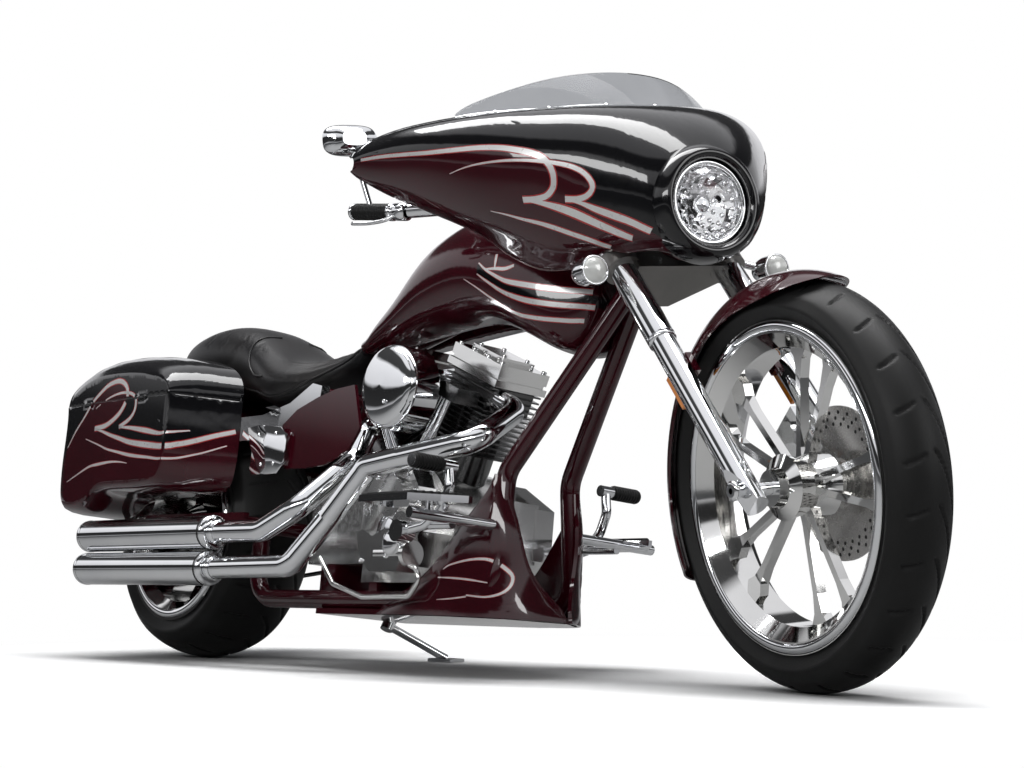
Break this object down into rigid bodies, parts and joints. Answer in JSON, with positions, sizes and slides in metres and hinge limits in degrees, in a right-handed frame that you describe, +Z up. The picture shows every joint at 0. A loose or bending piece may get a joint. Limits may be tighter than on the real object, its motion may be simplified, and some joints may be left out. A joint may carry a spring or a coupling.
{
  "type": "chopper motorcycle",
  "caption": "Long custom chopper motorcycle with a bar-mounted fairing, low windshield, V-twin engine and hard saddlebags, leaning on its side stand.",
  "frame": {"origin": "on the floor, below the middle of the bounding box of the bike as it leans on its side stand", "axes": "+X forward along the bike, +Y to the rider's left, +Z up; the wheels roll about lines near Y"},
  "size_m": [2.8272, 1, 1.2927],
  "materials": {
    "maroon_paint": "deep wine red gloss with silver pinstripes",
    "black_paint": "gloss black",
    "black_leather": "black leather with sewn channels",
    "satin_alloy": "satin cast alloy",
    "black_engine": "black with bright fin edges",
    "bright_chrome": "polished chrome",
    "brushed_grey": "brushed grey metal",
    "black_rubber": "matt black",
    "tyre_rubber": "black tyre rubber",
    "polished_billet": "polished billet",
    "disc_steel": "ground steel",
    "lamp_glass": "clear lens over a bright reflector",
    "smoked_shield": "lightly smoked clear sheet",
    "red_lens": "red lens",
    "amber_lens": "amber reflector"
  },
  "bodies": {
    "root": {"air_cleaner": "bright_chrome", "bag_mounts": "bright_chrome", "cam_cover": "bright_chrome", "crankcase": "satin_alloy", "drive_belt": "black_rubber", "exhaust": "bright_chrome", "frame": "maroon_paint", "front_cylinder": "black_engine", "fuel_tank": "maroon_paint", "left_controls": "bright_chrome", "lower_cowl": "maroon_paint", "primary_cover": "bright_chrome", "pushrod_tubes": "bright_chrome", "rear_axle": "bright_chrome", "rear_cylinder": "black_engine", "rear_fender": "maroon_paint", "right_controls": "bright_chrome", "rocker_boxes": "bright_chrome", "saddlebag_left": "maroon_paint", "saddlebag_right": "maroon_paint", "seat": "black_leather", "side_cover": "maroon_paint", "swingarm": "maroon_paint", "tail_lamp": "red_lens", "transmission": "satin_alloy"},
    "fork": {"fork_legs": "bright_chrome", "triple_trees": "brushed_grey", "handlebar": "bright_chrome", "fairing": "black_paint", "windshield": "smoked_shield", "headlamp": "lamp_glass", "turn_signals": "bright_chrome", "front_axle": "bright_chrome", "front_fender": "maroon_paint", "front_caliper": "bright_chrome", "reflectors": "amber_lens"},
    "front_wheel": {"front_tyre": "tyre_rubber", "front_wheel": "polished_billet", "front_disc": "disc_steel"},
    "rear_wheel": {"rear_tyre": "tyre_rubber", "rear_wheel": "polished_billet", "rear_pulley": "polished_billet"},
    "side_stand": {"side_stand": "bright_chrome"},
    "lid_right": {"bag_lid_right": "black_paint"},
    "lid_left": {"bag_lid_left": "black_paint"}
  },
  "joints": [
    {"name": "steering", "type": "hinge", "parent": "root", "child": "fork", "pos_m": [0.57584, -0.09461, 0.82124], "axis": [-0.5962, 0.0881, 0.798], "range_deg": [-14.2, 49.8]},
    {"name": "front_wheel_spin", "type": "hinge", "parent": "fork", "child": "front_wheel", "pos_m": [1.03955, -0.17763, 0.38335], "axis": [0.2454, 0.9664, 0.0767], "continuous": true},
    {"name": "rear_wheel_spin", "type": "hinge", "parent": "root", "child": "rear_wheel", "pos_m": [-1.05712, -0.14863, 0.33188], "axis": [0, 0.994, -0.1097], "continuous": true},
    {"name": "stand_fold", "type": "hinge", "parent": "root", "child": "side_stand", "pos_m": [-0.44712, -0.02612, 0.09286], "axis": [-0.066, 0.5204, 0.8514], "range_deg": [0, 98.7]},
    {"name": "lid_right_hinge", "type": "hinge", "parent": "root", "child": "lid_right", "pos_m": [-1.05712, -0.45092, 0.67398], "axis": [1, 0, 0], "range_deg": [0, 85]},
    {"name": "lid_left_hinge", "type": "hinge", "parent": "root", "child": "lid_left", "pos_m": [-1.05712, 0.221, 0.5998], "axis": [-1, 0, 0], "range_deg": [0, 85]}
  ]
}
